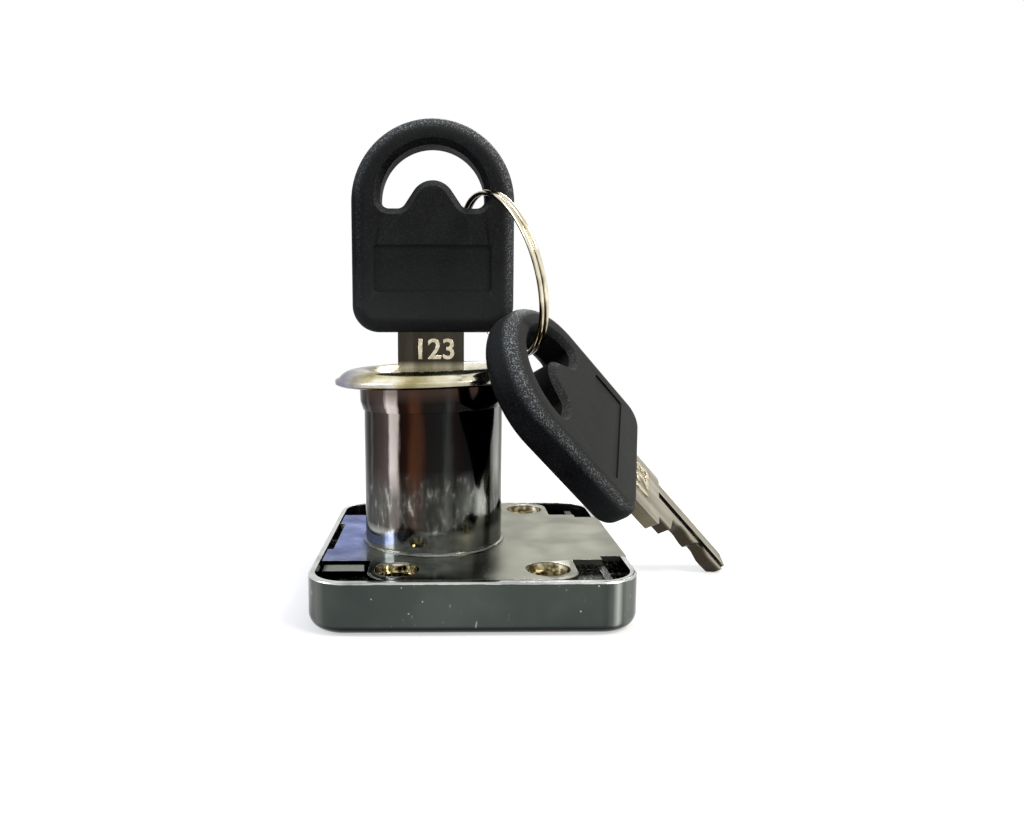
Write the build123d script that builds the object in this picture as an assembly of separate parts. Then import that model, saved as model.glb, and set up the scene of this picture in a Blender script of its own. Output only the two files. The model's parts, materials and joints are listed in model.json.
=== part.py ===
from build123d import *
import math
import os

# Drawer lock, in millimetres. The barrel stands on +Z, the bolt leaves along +X,
# and the flat underside of the case is z = 0.
os.makedirs("parts", exist_ok=True)

# Gaps: a running fit, a sliding fit, a pressed seat and free air
turn_gap = 0.05
slide_gap = 0.15
seat_gap = 0.02
air_gap = 0.3

# How far a cutting block runs past the face that it cuts
overrun = 1.0

# Case, a drawn steel cup that is open towards the barrel
case_side = 40.0
case_wall = 0.8
case_corner = 4.8
case_edge = 1.8
case_rim_bevel = 0.2
backset = 25.0

# Four wood screws enter from the underside
screw_spacing_x = 18.5
screw_spacing_y = 30.0
screw_entry_radius = 2.75
screw_entry_depth = 1.1
screw_shank_radius = 2.1
screw_head_radius = 3.6

# Plate of the die-cast body, flush with the rim of the case
plate_thickness = 2.4
plate_wall_gap = 0.25
plate_lobe = 3.5
plate_corner = 2.8
left_arm_half = 11.5
left_notch_half = 6.5
left_notch_depth = 0.75
left_slot_height = 0.9
left_slot_depth = 1.2
left_slot_drop = 0.45
right_arm_half = 11.4
right_lip_half = 9.9
right_lip_length = 3.4
rib_width = 0.9
rib_drop = 1.0
shelf_drop = 1.5
rail_width = 1.4
boss_radius = 3.85
rivet_radius = 1.5
rivet_boss_radius = 2.6
rivet_head = 0.6
rivet_inset = 3.6

# Barrel of the die-cast body
barrel_radius = 9.5
barrel_length = 22.0
barrel_foot = 0.4
barrel_edge = 0.35
groove_depth = 1.05
groove_margin = 0.3

# Plug, with a head at the front and a clip at the tail
plug_radius = 6.5
plug_head_radius = 7.4
plug_head_height = 1.2
tail_height = 1.7
tail_radius = 6.2
tail_neck_radius = 5.5
clip_radius = 7.5
clip_thickness = 0.8
clip_mouth = 8.6

# Drive pin and bolt
bolt_throw = 7.0
bolt_thickness = 3.0
bolt_gap = 0.2
bolt_width = 18.0
bolt_web = 3.2
bolt_corner = 1.2
drive_pin_radius = 1.3
drive_pin_seat = 3.0

# Key blade, with its cuts on the -X edge
blade_thickness = 2.0
blade_length = 17.5
blade_root = 6.3
blade_back = 3.2
blade_tip_width = 3.2
blade_bevel = 1.2
blade_groove_inset = 2.1
blade_groove_width = 1.1
blade_groove_depth = 0.45
first_cut = 4.0
cut_pitch = 2.3
cut_flat = 1.0
cut_widths = [3.9, 3.3, 3.7, 2.6, 3.4]
neck_width = 9.0
neck_offset = -0.3
neck_corner = 0.6
tang_width = 7.0
tang_length = 9.0
tang_hole_radius = 1.6

# Wafers and the springs beside them
wafer_thickness = 0.9
wafer_width = 6.8
wafer_lift = 0.8
wafer_tab_height = 1.35
wafer_tab_width = 1.0
spring_wire = 0.22
spring_radius = 0.625
spring_length = 2.9
spring_turns = 3
spring_wire_sides = 5

# Key bow, moulded over the tang
bow_start = 6.5
bow_width = 21.8
bow_height = 28.1
bow_thickness = 5.2
bow_round = 2.0
bow_foot_corner = 3.6
bow_hole_radius = 6.95
bow_hole_top_wall = 3.55
bow_hole_height = 8.2
bow_hole_bevel = 0.8
bow_bump_height = 3.65
bow_bump_radius = 3.0
bow_bump_flank = 56.0
bow_valley_round = 1.2
panel_width = 15.7
panel_height = 6.2
panel_start = 5.4
panel_depth = 0.3
panel_corner = 0.5

# Split ring of two turns, hung in the standing key's bow
ring_radius = 11.04
ring_wire = 0.65
ring_wire_sides = 8
ring_turn_gap = 0.42
ring_crossing = 50.0
ring_end_turn = 80.0
ring_heading = 21.4
ring_tilt = 15.3
ring_hang_turn = 15.7
ring_hang_x = 5.37
ring_hang_rise = 1.46
ring_foot_room = 2.9

# Spare key, leaning out from the ring
spare_heading = 23.1
spare_lean = 45.2
spare_roll = 43.3
spare_ring_turn = -27.2
spare_hang_x = 4.21
spare_hang_drop = 3.29

# Trim ring round the mouth of the barrel, which sits a little askew
trim_radius = 13.4
trim_lip = 0.55
trim_ridge_radius = 10.4
trim_ridge_height = 1.5
trim_mouth_radius = 7.8
trim_mouth_thickness = 0.45
trim_slope_hollow = 0.35
trim_ridge_hollow = 0.3
trim_sleeve_wall = 0.45
trim_sleeve_length = 3.9
trim_sleeve_taper = 1.2
trim_bore_gap = 0.2
trim_tilt = 2.2

# Levels and places that follow from the sizes above
case_height = case_wall + bolt_gap + bolt_thickness + bolt_gap + plate_thickness
case_centre = backset - case_side / 2
case_left = backset - case_side
cavity_half = case_side / 2 - case_wall
bolt_bottom = case_wall + bolt_gap
plate_bottom = case_height - plate_thickness
barrel_top = case_height + barrel_length
tail_shoulder = plate_bottom + tail_height
clip_bottom = tail_shoulder - turn_gap - clip_thickness
plug_bottom = plate_bottom + slide_gap
pin_circle = bolt_throw / 2
blade_front = blade_back - blade_root
key_seat = barrel_top + turn_gap
bow_top = bow_start + bow_height
bow_hole_top = bow_top - bow_hole_top_wall
bow_hole_floor = bow_hole_top - bow_hole_height
ring_pitch = ring_wire + ring_turn_gap
screw_places = [
    (case_centre + sx * screw_spacing_x / 2, sy * screw_spacing_y / 2)
    for sx in (-1, 1)
    for sy in (-1, 1)
]
rivet_places = [(case_centre, side * (cavity_half - rivet_inset)) for side in (-1, 1)]


def block(x0, x1, y0, y1, z0, z1):
    """A box from its lowest to its highest corner."""
    place = Location(((x0 + x1) / 2, (y0 + y1) / 2, (z0 + z1) / 2))
    return place * Box(x1 - x0, y1 - y0, z1 - z0)


def disc(radius, z0, z1, place=(0, 0)):
    """An upright cylinder between two levels."""
    return Location((place[0], place[1], (z0 + z1) / 2)) * Cylinder(radius, z1 - z0)


def screw_cut(place):
    """What one countersunk wood screw needs: a cone, a shank and a wide mouth."""
    x, y = place
    cone_height = screw_head_radius - screw_shank_radius
    cone = Cone(screw_head_radius, screw_shank_radius, cone_height)
    cut = Location((x, y, cone_height / 2)) * cone
    cut += disc(screw_shank_radius, 0, case_height, place)
    return cut + disc(screw_entry_radius, case_height - screw_entry_depth, case_height, place)


def rivet(place, gap):
    """A cast peg, spun over to a countersunk head that is flush with the case."""
    x, y = place
    head = Cone(rivet_radius + rivet_head + gap, rivet_radius + gap, rivet_head)
    peg = disc(rivet_radius + gap, 0, plate_bottom, place)
    return peg + Location((x, y, rivet_head / 2)) * head


def cavity(gap):
    """The inside of the cup, less an even gap to its walls and floor."""
    side = 2 * (cavity_half - gap)
    corner = case_corner - case_wall - gap
    room = extrude(Location((case_centre, 0)) * RectangleRounded(side, side, corner), case_height)
    room = chamfer(room.faces().sort_by(Axis.Z)[0].edges(), case_edge - case_wall)
    return Location((0, 0, case_wall + gap)) * room


def make_case():
    """The cup: walls, a rounded bottom edge, the screw holes and the bolt's mouth."""
    centre = Location((case_centre, 0))
    cup = extrude(centre * RectangleRounded(case_side, case_side, case_corner), case_height)
    cup = fillet(cup.faces().sort_by(Axis.Z)[0].edges(), case_edge)
    cup = chamfer(cup.faces().sort_by(Axis.Z)[-1].edges(), case_rim_bevel)
    cup -= cavity(0)
    mouth_half = right_lip_half + slide_gap
    mouth_start = backset - 2 * case_wall
    cup -= block(mouth_start, backset + overrun, -mouth_half, mouth_half, case_wall, case_height)
    for place in screw_places:
        cup -= screw_cut(place)
    for place in rivet_places:
        cup -= rivet(place, seat_gap)
    return cup


def plate_outline():
    """The plate in plan: four lobes round the screws, with an arm to each side."""
    half = cavity_half - plate_wall_gap
    lobes_x = screw_spacing_x + 2 * plate_lobe
    outline = Location((case_centre, 0)) * RectangleRounded(lobes_x, 2 * half, plate_corner)
    left_edge = case_left + case_wall + plate_wall_gap
    arm_length = case_centre - left_edge
    arm = Rectangle(arm_length, 2 * left_arm_half, align=(Align.MIN, Align.CENTER))
    outline += Location((left_edge, 0)) * arm
    lip_start = backset - right_lip_length
    wide = Rectangle(lip_start - case_centre, 2 * right_arm_half, align=(Align.MIN, Align.CENTER))
    lip = Rectangle(backset - case_centre, 2 * right_lip_half, align=(Align.MIN, Align.CENTER))
    outline += Location((case_centre, 0)) * wide
    outline += Location((case_centre, 0)) * lip
    notch = Rectangle(2 * left_notch_depth, 2 * left_notch_half)
    return outline - Location((left_edge, 0)) * notch


def make_underside():
    """What stands under the plate: rails by the bolt, ribs, bosses and cast pegs."""
    wall_inside = backset - case_wall
    rail_start = -pin_circle - drive_pin_radius - 2 * bolt_web
    rail_inner = bolt_width / 2 + slide_gap
    rib_start = backset - right_lip_length - rib_width / 2
    under = Part()
    for side in (-1, 1):
        rail_y = sorted((side * rail_inner, side * (rail_inner + rail_width)))
        under += block(rail_start, wall_inside, *rail_y, 0, plate_bottom)
        rib_y = sorted((side * rail_inner, side * (cavity_half - rivet_radius)))
        under += block(rib_start, rib_start + rib_width, *rib_y, 0, case_height - rib_drop)
    for place in screw_places:
        under += disc(boss_radius, 0, plate_bottom, place)
    for place in rivet_places:
        under += disc(rivet_boss_radius, 0, plate_bottom, place)
    return under & cavity(seat_gap)


def make_plate():
    """The plate with what stands under it, before the barrel is added."""
    plate = extrude(Location((0, 0, plate_bottom)) * plate_outline(), plate_thickness)
    left_edge = case_left + case_wall + plate_wall_gap
    slot_top = case_height - left_slot_drop
    slot_end = case_centre - screw_spacing_x / 2 - plate_lobe - rib_width
    inner_half = left_arm_half - left_slot_depth
    rib_start = backset - right_lip_length - rib_width / 2
    shelf_start = case_centre + screw_spacing_x / 2 + plate_lobe - plate_corner
    shelf_end = cavity_half - plate_wall_gap - plate_corner
    for side in (-1, 1):
        slot_y = sorted((side * inner_half, side * (left_arm_half + overrun)))
        plate -= block(left_edge, slot_end, *slot_y, slot_top - left_slot_height, slot_top)
        shelf_y = sorted((side * right_lip_half, side * shelf_end))
        plate += block(shelf_start, rib_start, *shelf_y, plate_bottom, case_height - shelf_drop)
    plate += make_underside()
    for place in rivet_places:
        plate += rivet(place, 0)
    return plate


def make_lock_body():
    """One zinc casting: the plate and the barrel, bored for the plug."""
    body = make_plate()
    barrel = disc(barrel_radius, plate_bottom, barrel_top)
    barrel = chamfer(barrel.edges().sort_by(Axis.Z)[-1], barrel_edge)
    body += barrel
    body += disc(barrel_radius + barrel_foot, plate_bottom, case_height + barrel_foot / 2)
    body -= disc(plug_radius + turn_gap, plate_bottom, barrel_top)
    head_seat = barrel_top - plug_head_height - turn_gap
    body -= disc(plug_head_radius + turn_gap, head_seat, barrel_top)
    body -= disc(clip_radius + air_gap, plate_bottom, tail_shoulder)
    groove_half = wafer_width / 2 + groove_margin
    groove_end = plug_radius + groove_depth
    groove_top = wafer_level(0) + wafer_thickness
    body -= block(-groove_end, groove_end, -groove_half, groove_half, tail_shoulder, groove_top)
    for place in screw_places:
        body -= screw_cut(place)
    return body


def wafer_level(index):
    """Height of the middle of a wafer, counted from the front of the plug."""
    return key_seat - first_cut - index * cut_pitch


def pocket_span():
    """Where a spring pocket starts and ends along X, and its far side along Y."""
    far_side = wafer_width / 2 + wafer_tab_height + turn_gap
    safe_radius = plug_radius - air_gap
    start = -math.sqrt(safe_radius**2 - far_side**2)
    tab = start + spring_length + turn_gap
    return start, tab, far_side


def make_plug():
    """The turning core: head, clip groove, keyway, wafer slots and spring pockets."""
    plug = disc(plug_radius, tail_shoulder, barrel_top)
    plug += disc(plug_head_radius, barrel_top - plug_head_height, barrel_top)
    plug += disc(tail_radius, plug_bottom, clip_bottom - turn_gap)
    plug += disc(tail_neck_radius, plug_bottom, tail_shoulder)
    keyway_bottom = key_seat - blade_length - air_gap
    keyway_half = blade_thickness / 2 + slide_gap
    plug -= block(
        blade_front - slide_gap, blade_back + slide_gap,
        -keyway_half, keyway_half, keyway_bottom, barrel_top,
    )
    ward_centre = blade_back - blade_groove_inset
    ward_half = blade_groove_width / 2 - slide_gap
    ward_face = -blade_thickness / 2 + blade_groove_depth - slide_gap
    plug += block(
        ward_centre - ward_half, ward_centre + ward_half,
        -keyway_half - seat_gap, ward_face, keyway_bottom, barrel_top - plug_head_height,
    )
    slot_half = wafer_thickness / 2 + turn_gap
    slot_y = wafer_width / 2 + turn_gap
    pocket_start, tab, far_side = pocket_span()
    pocket_end = tab + wafer_tab_width + wafer_lift + turn_gap
    pocket_half = spring_radius + turn_gap
    for index in range(len(cut_widths)):
        level = wafer_level(index)
        plug -= block(
            -plug_radius, plug_radius, -slot_y, slot_y, level - slot_half, level + slot_half
        )
        plug -= block(
            pocket_start, pocket_end, 0, far_side, level - pocket_half, level + pocket_half
        )
    pin_top = plug_bottom + drive_pin_seat
    return plug - disc(drive_pin_radius + seat_gap, plug_bottom, pin_top, (-pin_circle, 0))


def make_wafer(index):
    """A stamped wafer. Its window rests on the widest stretch of blade that passes it."""
    level = wafer_level(index)
    half = wafer_thickness / 2
    wafer = disc(plug_radius - turn_gap, level - half, level + half)
    wafer &= block(
        -plug_radius, plug_radius, -wafer_width / 2, wafer_width / 2, level - half, level + half
    )
    _, tab, far_side = pocket_span()
    wafer += block(tab, tab + wafer_tab_width, 0, far_side - turn_gap, level - half, level + half)
    seat = max(cut_widths[index:] + [blade_tip_width])
    window_start = blade_back - seat - turn_gap
    window_end = blade_back + wafer_lift + slide_gap
    window_half = blade_thickness / 2 + slide_gap
    return wafer - block(
        window_start, window_end, -window_half, window_half, level - half, level + half
    )


def biarc(start, start_way, end, end_way):
    """Two arcs that leave one point along a direction and reach another along a second."""
    chord = end - start
    ways = start_way + end_way
    spread = 2 * (1 - start_way.dot(end_way))
    across = chord.dot(ways)
    reach = (math.sqrt(across**2 + spread * chord.dot(chord)) - across) / spread
    middle = (start + end + (start_way - end_way) * reach) * 0.5
    middle_way = ((end - end_way * reach) - (start + start_way * reach)).normalized()
    first = TangentArc(start, middle, tangent=start_way)
    return [first, TangentArc(middle, end, tangent=middle_way)]


def coil_point(radius, turn, level):
    """A point on a coil round Z, and its level direction of travel."""
    angle = math.radians(turn)
    point = Vector(radius * math.cos(angle), radius * math.sin(angle), level)
    return point, Vector(-math.sin(angle), math.cos(angle), 0)


def sweep_wire(arcs, radius, sides):
    """A thin wire along a row of arcs. Few sides stand in for its round section."""
    path = Wire(arcs)
    start = Plane(origin=path.position_at(0), z_dir=arcs[0].tangent_at(0))
    return sweep(start * RegularPolygon(radius, sides), path=path)


def least_gap(arcs, thickness, far):
    """The least gap between stretches of one wire that lie further apart along it than far."""
    steps = 14
    points = []
    for arc in arcs:
        for step in range(steps):
            points.append(arc.position_at(step / steps))
    travel = [0.0]
    for a, b in zip(points, points[1:]):
        travel.append(travel[-1] + (b - a).length)
    gaps = []
    for i, a in enumerate(points):
        for j in range(i + 1, len(points)):
            if travel[j] - travel[i] > far:
                gaps.append((points[j] - a).length)
    return min(gaps) - thickness


def make_spring(index):
    """A wafer spring: an open coil lying along X in its pocket."""
    radius = spring_radius - spring_wire / 2
    rise = (spring_length - spring_wire) / spring_turns
    slope = rise / (2 * math.pi * radius)
    arcs = []
    for half in range(2 * spring_turns):
        ends = []
        for turn in (180 * half, 180 * (half + 1)):
            point, way = coil_point(radius, turn, rise * turn / 360)
            ends += [point, (way + Vector(0, 0, slope)).normalized()]
        arcs += biarc(*ends)
    coil = sweep_wire(arcs, spring_wire / 2, spring_wire_sides)
    if index == 0:
        print("least gap in a wafer spring", round(least_gap(arcs, spring_wire, 2 * radius), 3))
    start, _, far_side = pocket_span()
    middle = far_side - turn_gap - spring_radius
    place = Location((start + spring_wire / 2 + turn_gap / 2, middle, wafer_level(index)))
    return place * Rotation(0, 90, 0) * coil


def make_clip():
    """An open retaining clip in the groove at the plug's tail."""
    face = Circle(clip_radius) - Circle(tail_neck_radius + turn_gap)
    mouth = Rectangle(clip_mouth, clip_radius, align=(Align.CENTER, Align.MIN))
    face -= mouth
    return extrude(Location((0, 0, clip_bottom)) * face, clip_thickness)


def make_drive_pin():
    """A steel pin in the plug's tail, off its axis, that reaches into the bolt."""
    pin_bottom = bolt_bottom + slide_gap
    pin_top = plug_bottom + drive_pin_seat - seat_gap
    pin = disc(drive_pin_radius, pin_bottom, pin_top, (-pin_circle, 0))
    return chamfer(pin.edges().group_by(Axis.Z)[0], slide_gap)


def make_bolt():
    """A flat bolt with a cross slot. The slot also leaves room for the pin's round path
    against the bolt's even travel, which differ most where the sine is two over pi."""
    turn = math.asin(2 / math.pi)
    drift = pin_circle * (2 * turn / math.pi - (1 - math.cos(turn)))
    slot_width = 2 * (drive_pin_radius + drift + slide_gap)
    slot_length = 2 * (pin_circle + drive_pin_radius + air_gap)
    inner_end = -pin_circle - slot_width / 2 - bolt_web
    outer_end = backset - bolt_gap
    face = Rectangle(outer_end - inner_end, bolt_width)
    face = fillet(face.vertices(), bolt_corner)
    face = Location(((outer_end + inner_end) / 2, 0)) * face
    slot = SlotOverall(slot_length, slot_width, rotation=90)
    face -= Location((-pin_circle, 0)) * slot
    return extrude(Location((0, 0, bolt_bottom)) * face, bolt_thickness)


def blade_outline():
    """The key's blade, neck and tang, seen from the front with the shoulder at zero."""
    neck_left = neck_offset - neck_width / 2
    neck_right = neck_offset + neck_width / 2
    cuts = [(blade_front, 0), (blade_front, -first_cut + cut_pitch / 2)]
    for index, width in enumerate(cut_widths):
        depth = first_cut + index * cut_pitch
        edge = blade_back - width
        cuts += [(edge, -depth + cut_flat / 2), (edge, -depth - cut_flat / 2)]
    tip_edge = blade_back - blade_tip_width
    cuts += [(tip_edge, -blade_length + blade_bevel)]
    cuts += [(tip_edge + blade_bevel, -blade_length)]
    cuts += [(blade_back - blade_bevel, -blade_length)]
    cuts += [(blade_back, -blade_length + blade_bevel), (blade_back, 0)]
    outline = make_face(Polyline(*cuts, close=True))
    neck = Rectangle(neck_right - neck_left, bow_start, align=(Align.CENTER, Align.MIN))
    neck = fillet(neck.vertices().group_by(Axis.Y)[0], neck_corner)
    outline += Location((neck_offset, 0)) * neck
    tang = Rectangle(tang_width, tang_length, align=(Align.CENTER, Align.MIN))
    tang = fillet(tang.vertices().group_by(Axis.Y)[-1], neck_corner)
    outline += Location((neck_offset, bow_start)) * tang
    return outline - Location((neck_offset, bow_start + tang_length / 2)) * Circle(tang_hole_radius)


def make_blade():
    """The stamped key, with one groove along the front of its blade."""
    blade = extrude(Plane.XZ * blade_outline(), blade_thickness / 2, both=True)
    groove_centre = blade_back - blade_groove_inset
    groove_half = blade_groove_width / 2
    face = -blade_thickness / 2
    return blade - block(
        groove_centre - groove_half, groove_centre + groove_half,
        face, face + blade_groove_depth, -blade_length, 0,
    )


def bow_hole():
    """The bow's hole: a round loop, closed below by a bump between two valleys."""
    centre = bow_hole_top - bow_hole_radius
    hole = Location((0, centre)) * Circle(bow_hole_radius)
    below = Rectangle(bow_width, bow_height, align=(Align.CENTER, Align.MAX))
    hole -= Location((0, bow_hole_floor)) * below
    bump_centre = bow_hole_floor + bow_bump_height - bow_bump_radius
    hole -= Location((0, bump_centre)) * Circle(bow_bump_radius)
    flank = math.radians(bow_bump_flank)
    side = bow_bump_radius * math.sin(flank)
    side_level = bump_centre + bow_bump_radius * math.cos(flank)
    foot = side + (side_level - bow_hole_floor) / math.tan(flank)
    foot_left, foot_right = (-foot, bow_hole_floor), (foot, bow_hole_floor)
    side_left, side_right = (-side, side_level), (side, side_level)
    hole -= make_face(Polyline(foot_left, foot_right, side_right, side_left, close=True))
    valleys = hole.vertices().group_by(Axis.Y)[0]
    return fillet(valleys, bow_valley_round)


def bow_outline():
    """The bow's outside: a half round on straight sides, with rounded feet."""
    half = bow_width / 2
    sides = Rectangle(bow_width, bow_height - half, align=(Align.CENTER, Align.MIN))
    sides = fillet(sides.vertices().group_by(Axis.Y)[0], bow_foot_corner)
    return Location((0, bow_start)) * sides + Location((0, bow_top - half)) * Circle(half)


def make_bow(blade):
    """The moulded bow, with soft edges, a ring hole and a bare sunk panel on each face."""
    bow = extrude(Plane.XZ * bow_outline(), bow_thickness / 2, both=True)
    faces = bow.faces().sort_by(Axis.Y)
    bow = fillet(faces[0].edges() + faces[-1].edges(), bow_round)
    hole = extrude(Plane.XZ * bow_hole(), bow_thickness, both=True)
    bow -= hole
    front, back = bow.faces().sort_by(Axis.Y)[0], bow.faces().sort_by(Axis.Y)[-1]
    rims = front.inner_wires()[0].edges() + back.inner_wires()[0].edges()
    bow = chamfer(rims, bow_hole_bevel)
    panel = RectangleRounded(panel_width, panel_height, panel_corner)
    panel = Location((0, bow_start + panel_start + panel_height / 2)) * panel
    for side in (-1, 1):
        floor = Plane.XZ.offset(side * (bow_thickness / 2 - panel_depth))
        bow -= extrude(floor * panel, side * bow_round)
    return bow - blade


def level_turn(start, level):
    """Nearly one whole level turn of the split ring, as two arcs."""
    half = (360 - ring_crossing) / 2
    arcs = []
    for turn in (start, start + half):
        point, way = coil_point(ring_radius, turn, level)
        end, _ = coil_point(ring_radius, turn + half, level)
        arcs.append(TangentArc(point, end, tangent=way))
    return arcs


def make_split_ring():
    """Two level turns of wire, joined by one crossing, as one unbroken length."""
    crossing_start = ring_end_turn + 360 - ring_crossing
    crossing_ends = coil_point(ring_radius, crossing_start, -ring_pitch / 2)
    crossing_ends += coil_point(ring_radius, ring_end_turn, ring_pitch / 2)
    arcs = level_turn(ring_end_turn, -ring_pitch / 2)
    arcs += biarc(*crossing_ends)
    arcs += level_turn(ring_end_turn, ring_pitch / 2)
    print("least gap in the split ring", round(least_gap(arcs, ring_wire, 2 * ring_radius), 3))
    return sweep_wire(arcs, ring_wire / 2, ring_wire_sides)


def ring_lean():
    """How far the ring leans out. It leans further where the trim ring would be in its way."""
    room = bow_hole_floor + ring_hang_rise - ring_foot_room
    reach = ring_radius * (1 + math.cos(math.radians(ring_hang_turn)))
    return max(ring_tilt, math.degrees(math.acos(min(1, room / reach))))


def ring_location():
    """The ring's frame. It hangs from a point in the hole of the standing key's bow."""
    hang = Vector(ring_hang_x, 0, key_seat + bow_hole_floor + ring_hang_rise)
    way = Rotation(0, 0, ring_heading) * Rotation(0, 90 - ring_lean(), 0)
    turn = math.radians(180 - ring_hang_turn)
    reach = Vector(ring_radius * math.cos(turn), ring_radius * math.sin(turn), 0)
    centre = hang - (way * Location(reach)).position
    return Location(centre) * way


def spare_location():
    """The spare key's frame. The top of its hole hangs on the ring."""
    turn = math.radians(spare_ring_turn)
    on_ring = Vector(ring_radius * math.cos(turn), ring_radius * math.sin(turn), 0)
    hang = (ring_location() * Location(on_ring)).position
    way = Rotation(0, 0, spare_heading) * Rotation(0, -spare_lean, 0) * Rotation(0, 0, spare_roll)
    held = Vector(spare_hang_x, 0, bow_hole_top - spare_hang_drop)
    return Location(hang - (way * Location(held)).position) * way


def make_trim_ring():
    """A turned trim ring: a sleeve on the barrel, a domed flange and a sunk mouth."""
    bore = barrel_radius + trim_bore_gap
    sleeve = bore + trim_sleeve_wall
    sleeve_tip = bore + trim_sleeve_wall / 3
    lip_start = trim_radius - trim_lip
    with BuildSketch(Plane.XZ) as profile:
        with BuildLine():
            Polyline(
                (trim_mouth_radius, 0), (bore, 0), (bore, -trim_sleeve_length),
                (sleeve_tip, -trim_sleeve_length), (sleeve, trim_sleeve_taper - trim_sleeve_length),
                (sleeve, -trim_lip), (lip_start, -trim_lip), (trim_radius, -trim_lip / 2),
                (trim_radius, trim_lip / 2), (lip_start, trim_lip),
            )
            ridge = (trim_ridge_radius, trim_ridge_height)
            SagittaArc((lip_start, trim_lip), ridge, -trim_slope_hollow)
            SagittaArc(ridge, (trim_mouth_radius, trim_mouth_thickness), -trim_ridge_hollow)
            Line((trim_mouth_radius, trim_mouth_thickness), (trim_mouth_radius, 0))
        make_face()
    ring = revolve(profile.sketch, Axis.Z)
    lift = barrel_radius * math.sin(math.radians(trim_tilt)) + seat_gap
    return Location((0, 0, barrel_top + lift)) * Rotation(0, -trim_tilt, 0) * ring


def make_parts():
    """Every node by its name, each where it is at rest."""
    blade = make_blade()
    bow = make_bow(blade)
    standing = Location((0, 0, key_seat))
    spare = spare_location()
    parts = {
        "case": make_case(),
        "lock_body": make_lock_body(),
        "trim_ring": make_trim_ring(),
        "plug": make_plug(),
        "retaining_clip": make_clip(),
        "drive_pin": make_drive_pin(),
        "bolt": make_bolt(),
        "key_blade": standing * blade,
        "key_bow": standing * bow,
        "split_ring": ring_location() * make_split_ring(),
        "spare_key_blade": spare * blade,
        "spare_key_bow": spare * bow,
    }
    for index in range(len(cut_widths)):
        parts[f"wafer_{index + 1}"] = make_wafer(index)
        parts[f"wafer_spring_{index + 1}"] = make_spring(index)
    return parts


for name, part in make_parts().items():
    part.label = name
    export_step(part, f"parts/{name}.step")
    print(name, "solids", len(part.solids()), "volume", round(part.volume, 2))
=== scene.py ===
# %% [markdown]
# # A drawer lock and its two keys
# A small lock that is screwed behind a drawer front. It has a pressed steel cup, a cast
# body with a plated barrel, a nickel trim ring, and two keys with moulded bows on a wire ring.
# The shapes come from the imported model. This file gives them their finishes, adds the
# few pieces that are too fine for the model, and sets the light and the camera.

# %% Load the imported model
import json
import math

import bmesh
import bpy
from mathutils import Euler, Matrix, Vector


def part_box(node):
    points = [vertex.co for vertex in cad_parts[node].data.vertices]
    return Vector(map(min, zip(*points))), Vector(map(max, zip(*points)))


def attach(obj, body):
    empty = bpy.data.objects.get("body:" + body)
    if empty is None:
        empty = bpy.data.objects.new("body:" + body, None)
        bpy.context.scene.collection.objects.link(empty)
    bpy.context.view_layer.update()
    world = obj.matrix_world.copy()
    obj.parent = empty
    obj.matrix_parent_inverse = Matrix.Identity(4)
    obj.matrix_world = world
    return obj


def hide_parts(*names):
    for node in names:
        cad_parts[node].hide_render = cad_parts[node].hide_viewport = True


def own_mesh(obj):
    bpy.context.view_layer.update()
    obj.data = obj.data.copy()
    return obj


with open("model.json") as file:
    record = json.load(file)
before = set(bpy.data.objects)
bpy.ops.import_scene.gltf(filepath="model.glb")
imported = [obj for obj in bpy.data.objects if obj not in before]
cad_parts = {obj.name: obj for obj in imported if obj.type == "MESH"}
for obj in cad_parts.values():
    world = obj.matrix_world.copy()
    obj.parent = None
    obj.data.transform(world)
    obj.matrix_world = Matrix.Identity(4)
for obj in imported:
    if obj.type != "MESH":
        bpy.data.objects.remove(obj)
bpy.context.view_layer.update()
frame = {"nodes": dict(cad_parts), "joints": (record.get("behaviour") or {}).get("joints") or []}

# %% [markdown]
# ## Units, colours and one helper for shader nodes
# Blender counts in metres, and the lock is easier to read in millimetres, so every size
# here is millimetres times MM. A colour is written as the eye sees it, in hex, and turned
# to the linear value that a shader expects. A pattern's scale is how many of its grains
# fit in one metre, so it comes from the grain's real size.

# %% Units and colours
MM = 0.001


def linear(hex_code):
    """An sRGB hex colour as linear RGBA."""
    channels = [int(hex_code[i : i + 2], 16) / 255 for i in (1, 3, 5)]
    bent = [c / 12.92 if c <= 0.04045 else ((c + 0.055) / 1.055) ** 2.4 for c in channels]
    return (*bent, 1.0)


def per_metre(grain_mm):
    """A texture scale that makes one grain that many millimetres wide."""
    return 1 / (grain_mm * MM)


print("middle grey is", round(linear("#808080")[0], 3), "in linear light")


# %% One helper for shader nodes
# A list of inputs fills a node's sockets from top to bottom, so a map range reads as value,
# from low, from high, to low, to high, and a mix as factor, at nought, at one.
def add(tree, kind, inputs=(), out=None, stops=(), **settings):
    """Adds a node and gives back one of its outputs, the first one unless out names it.

    Inputs are a list, or a dictionary by name, of plain values and other nodes' outputs.
    Stops are a ramp's colours, as pairs of place and hex colour.
    """
    node = tree.nodes.new("ShaderNode" + kind)
    for name, value in settings.items():
        setattr(node, name, value)
    shown = [socket for socket in node.inputs if socket.enabled]
    by_name = {socket.name: socket for socket in reversed(shown)}
    pairs = inputs.items() if isinstance(inputs, dict) else zip(shown, inputs)
    for key, value in pairs:
        socket = by_name[key] if isinstance(key, str) else key
        if isinstance(value, bpy.types.NodeSocket):
            tree.links.new(value, socket)
        else:
            socket.default_value = value
    while stops and len(node.color_ramp.elements) < len(stops):
        node.color_ramp.elements.new(1.0)
    for index, (position, colour) in enumerate(stops):
        node.color_ramp.elements[index].position = position
        node.color_ramp.elements[index].color = linear(colour)
    if out:
        return node.outputs[out]
    return next((socket for socket in node.outputs if socket.enabled), None)


def new_material(name):
    """A material with an empty node tree, and that tree."""
    material = bpy.data.materials.new(name)
    material.use_nodes = True
    material.node_tree.nodes.clear()
    return material, material.node_tree


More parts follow.
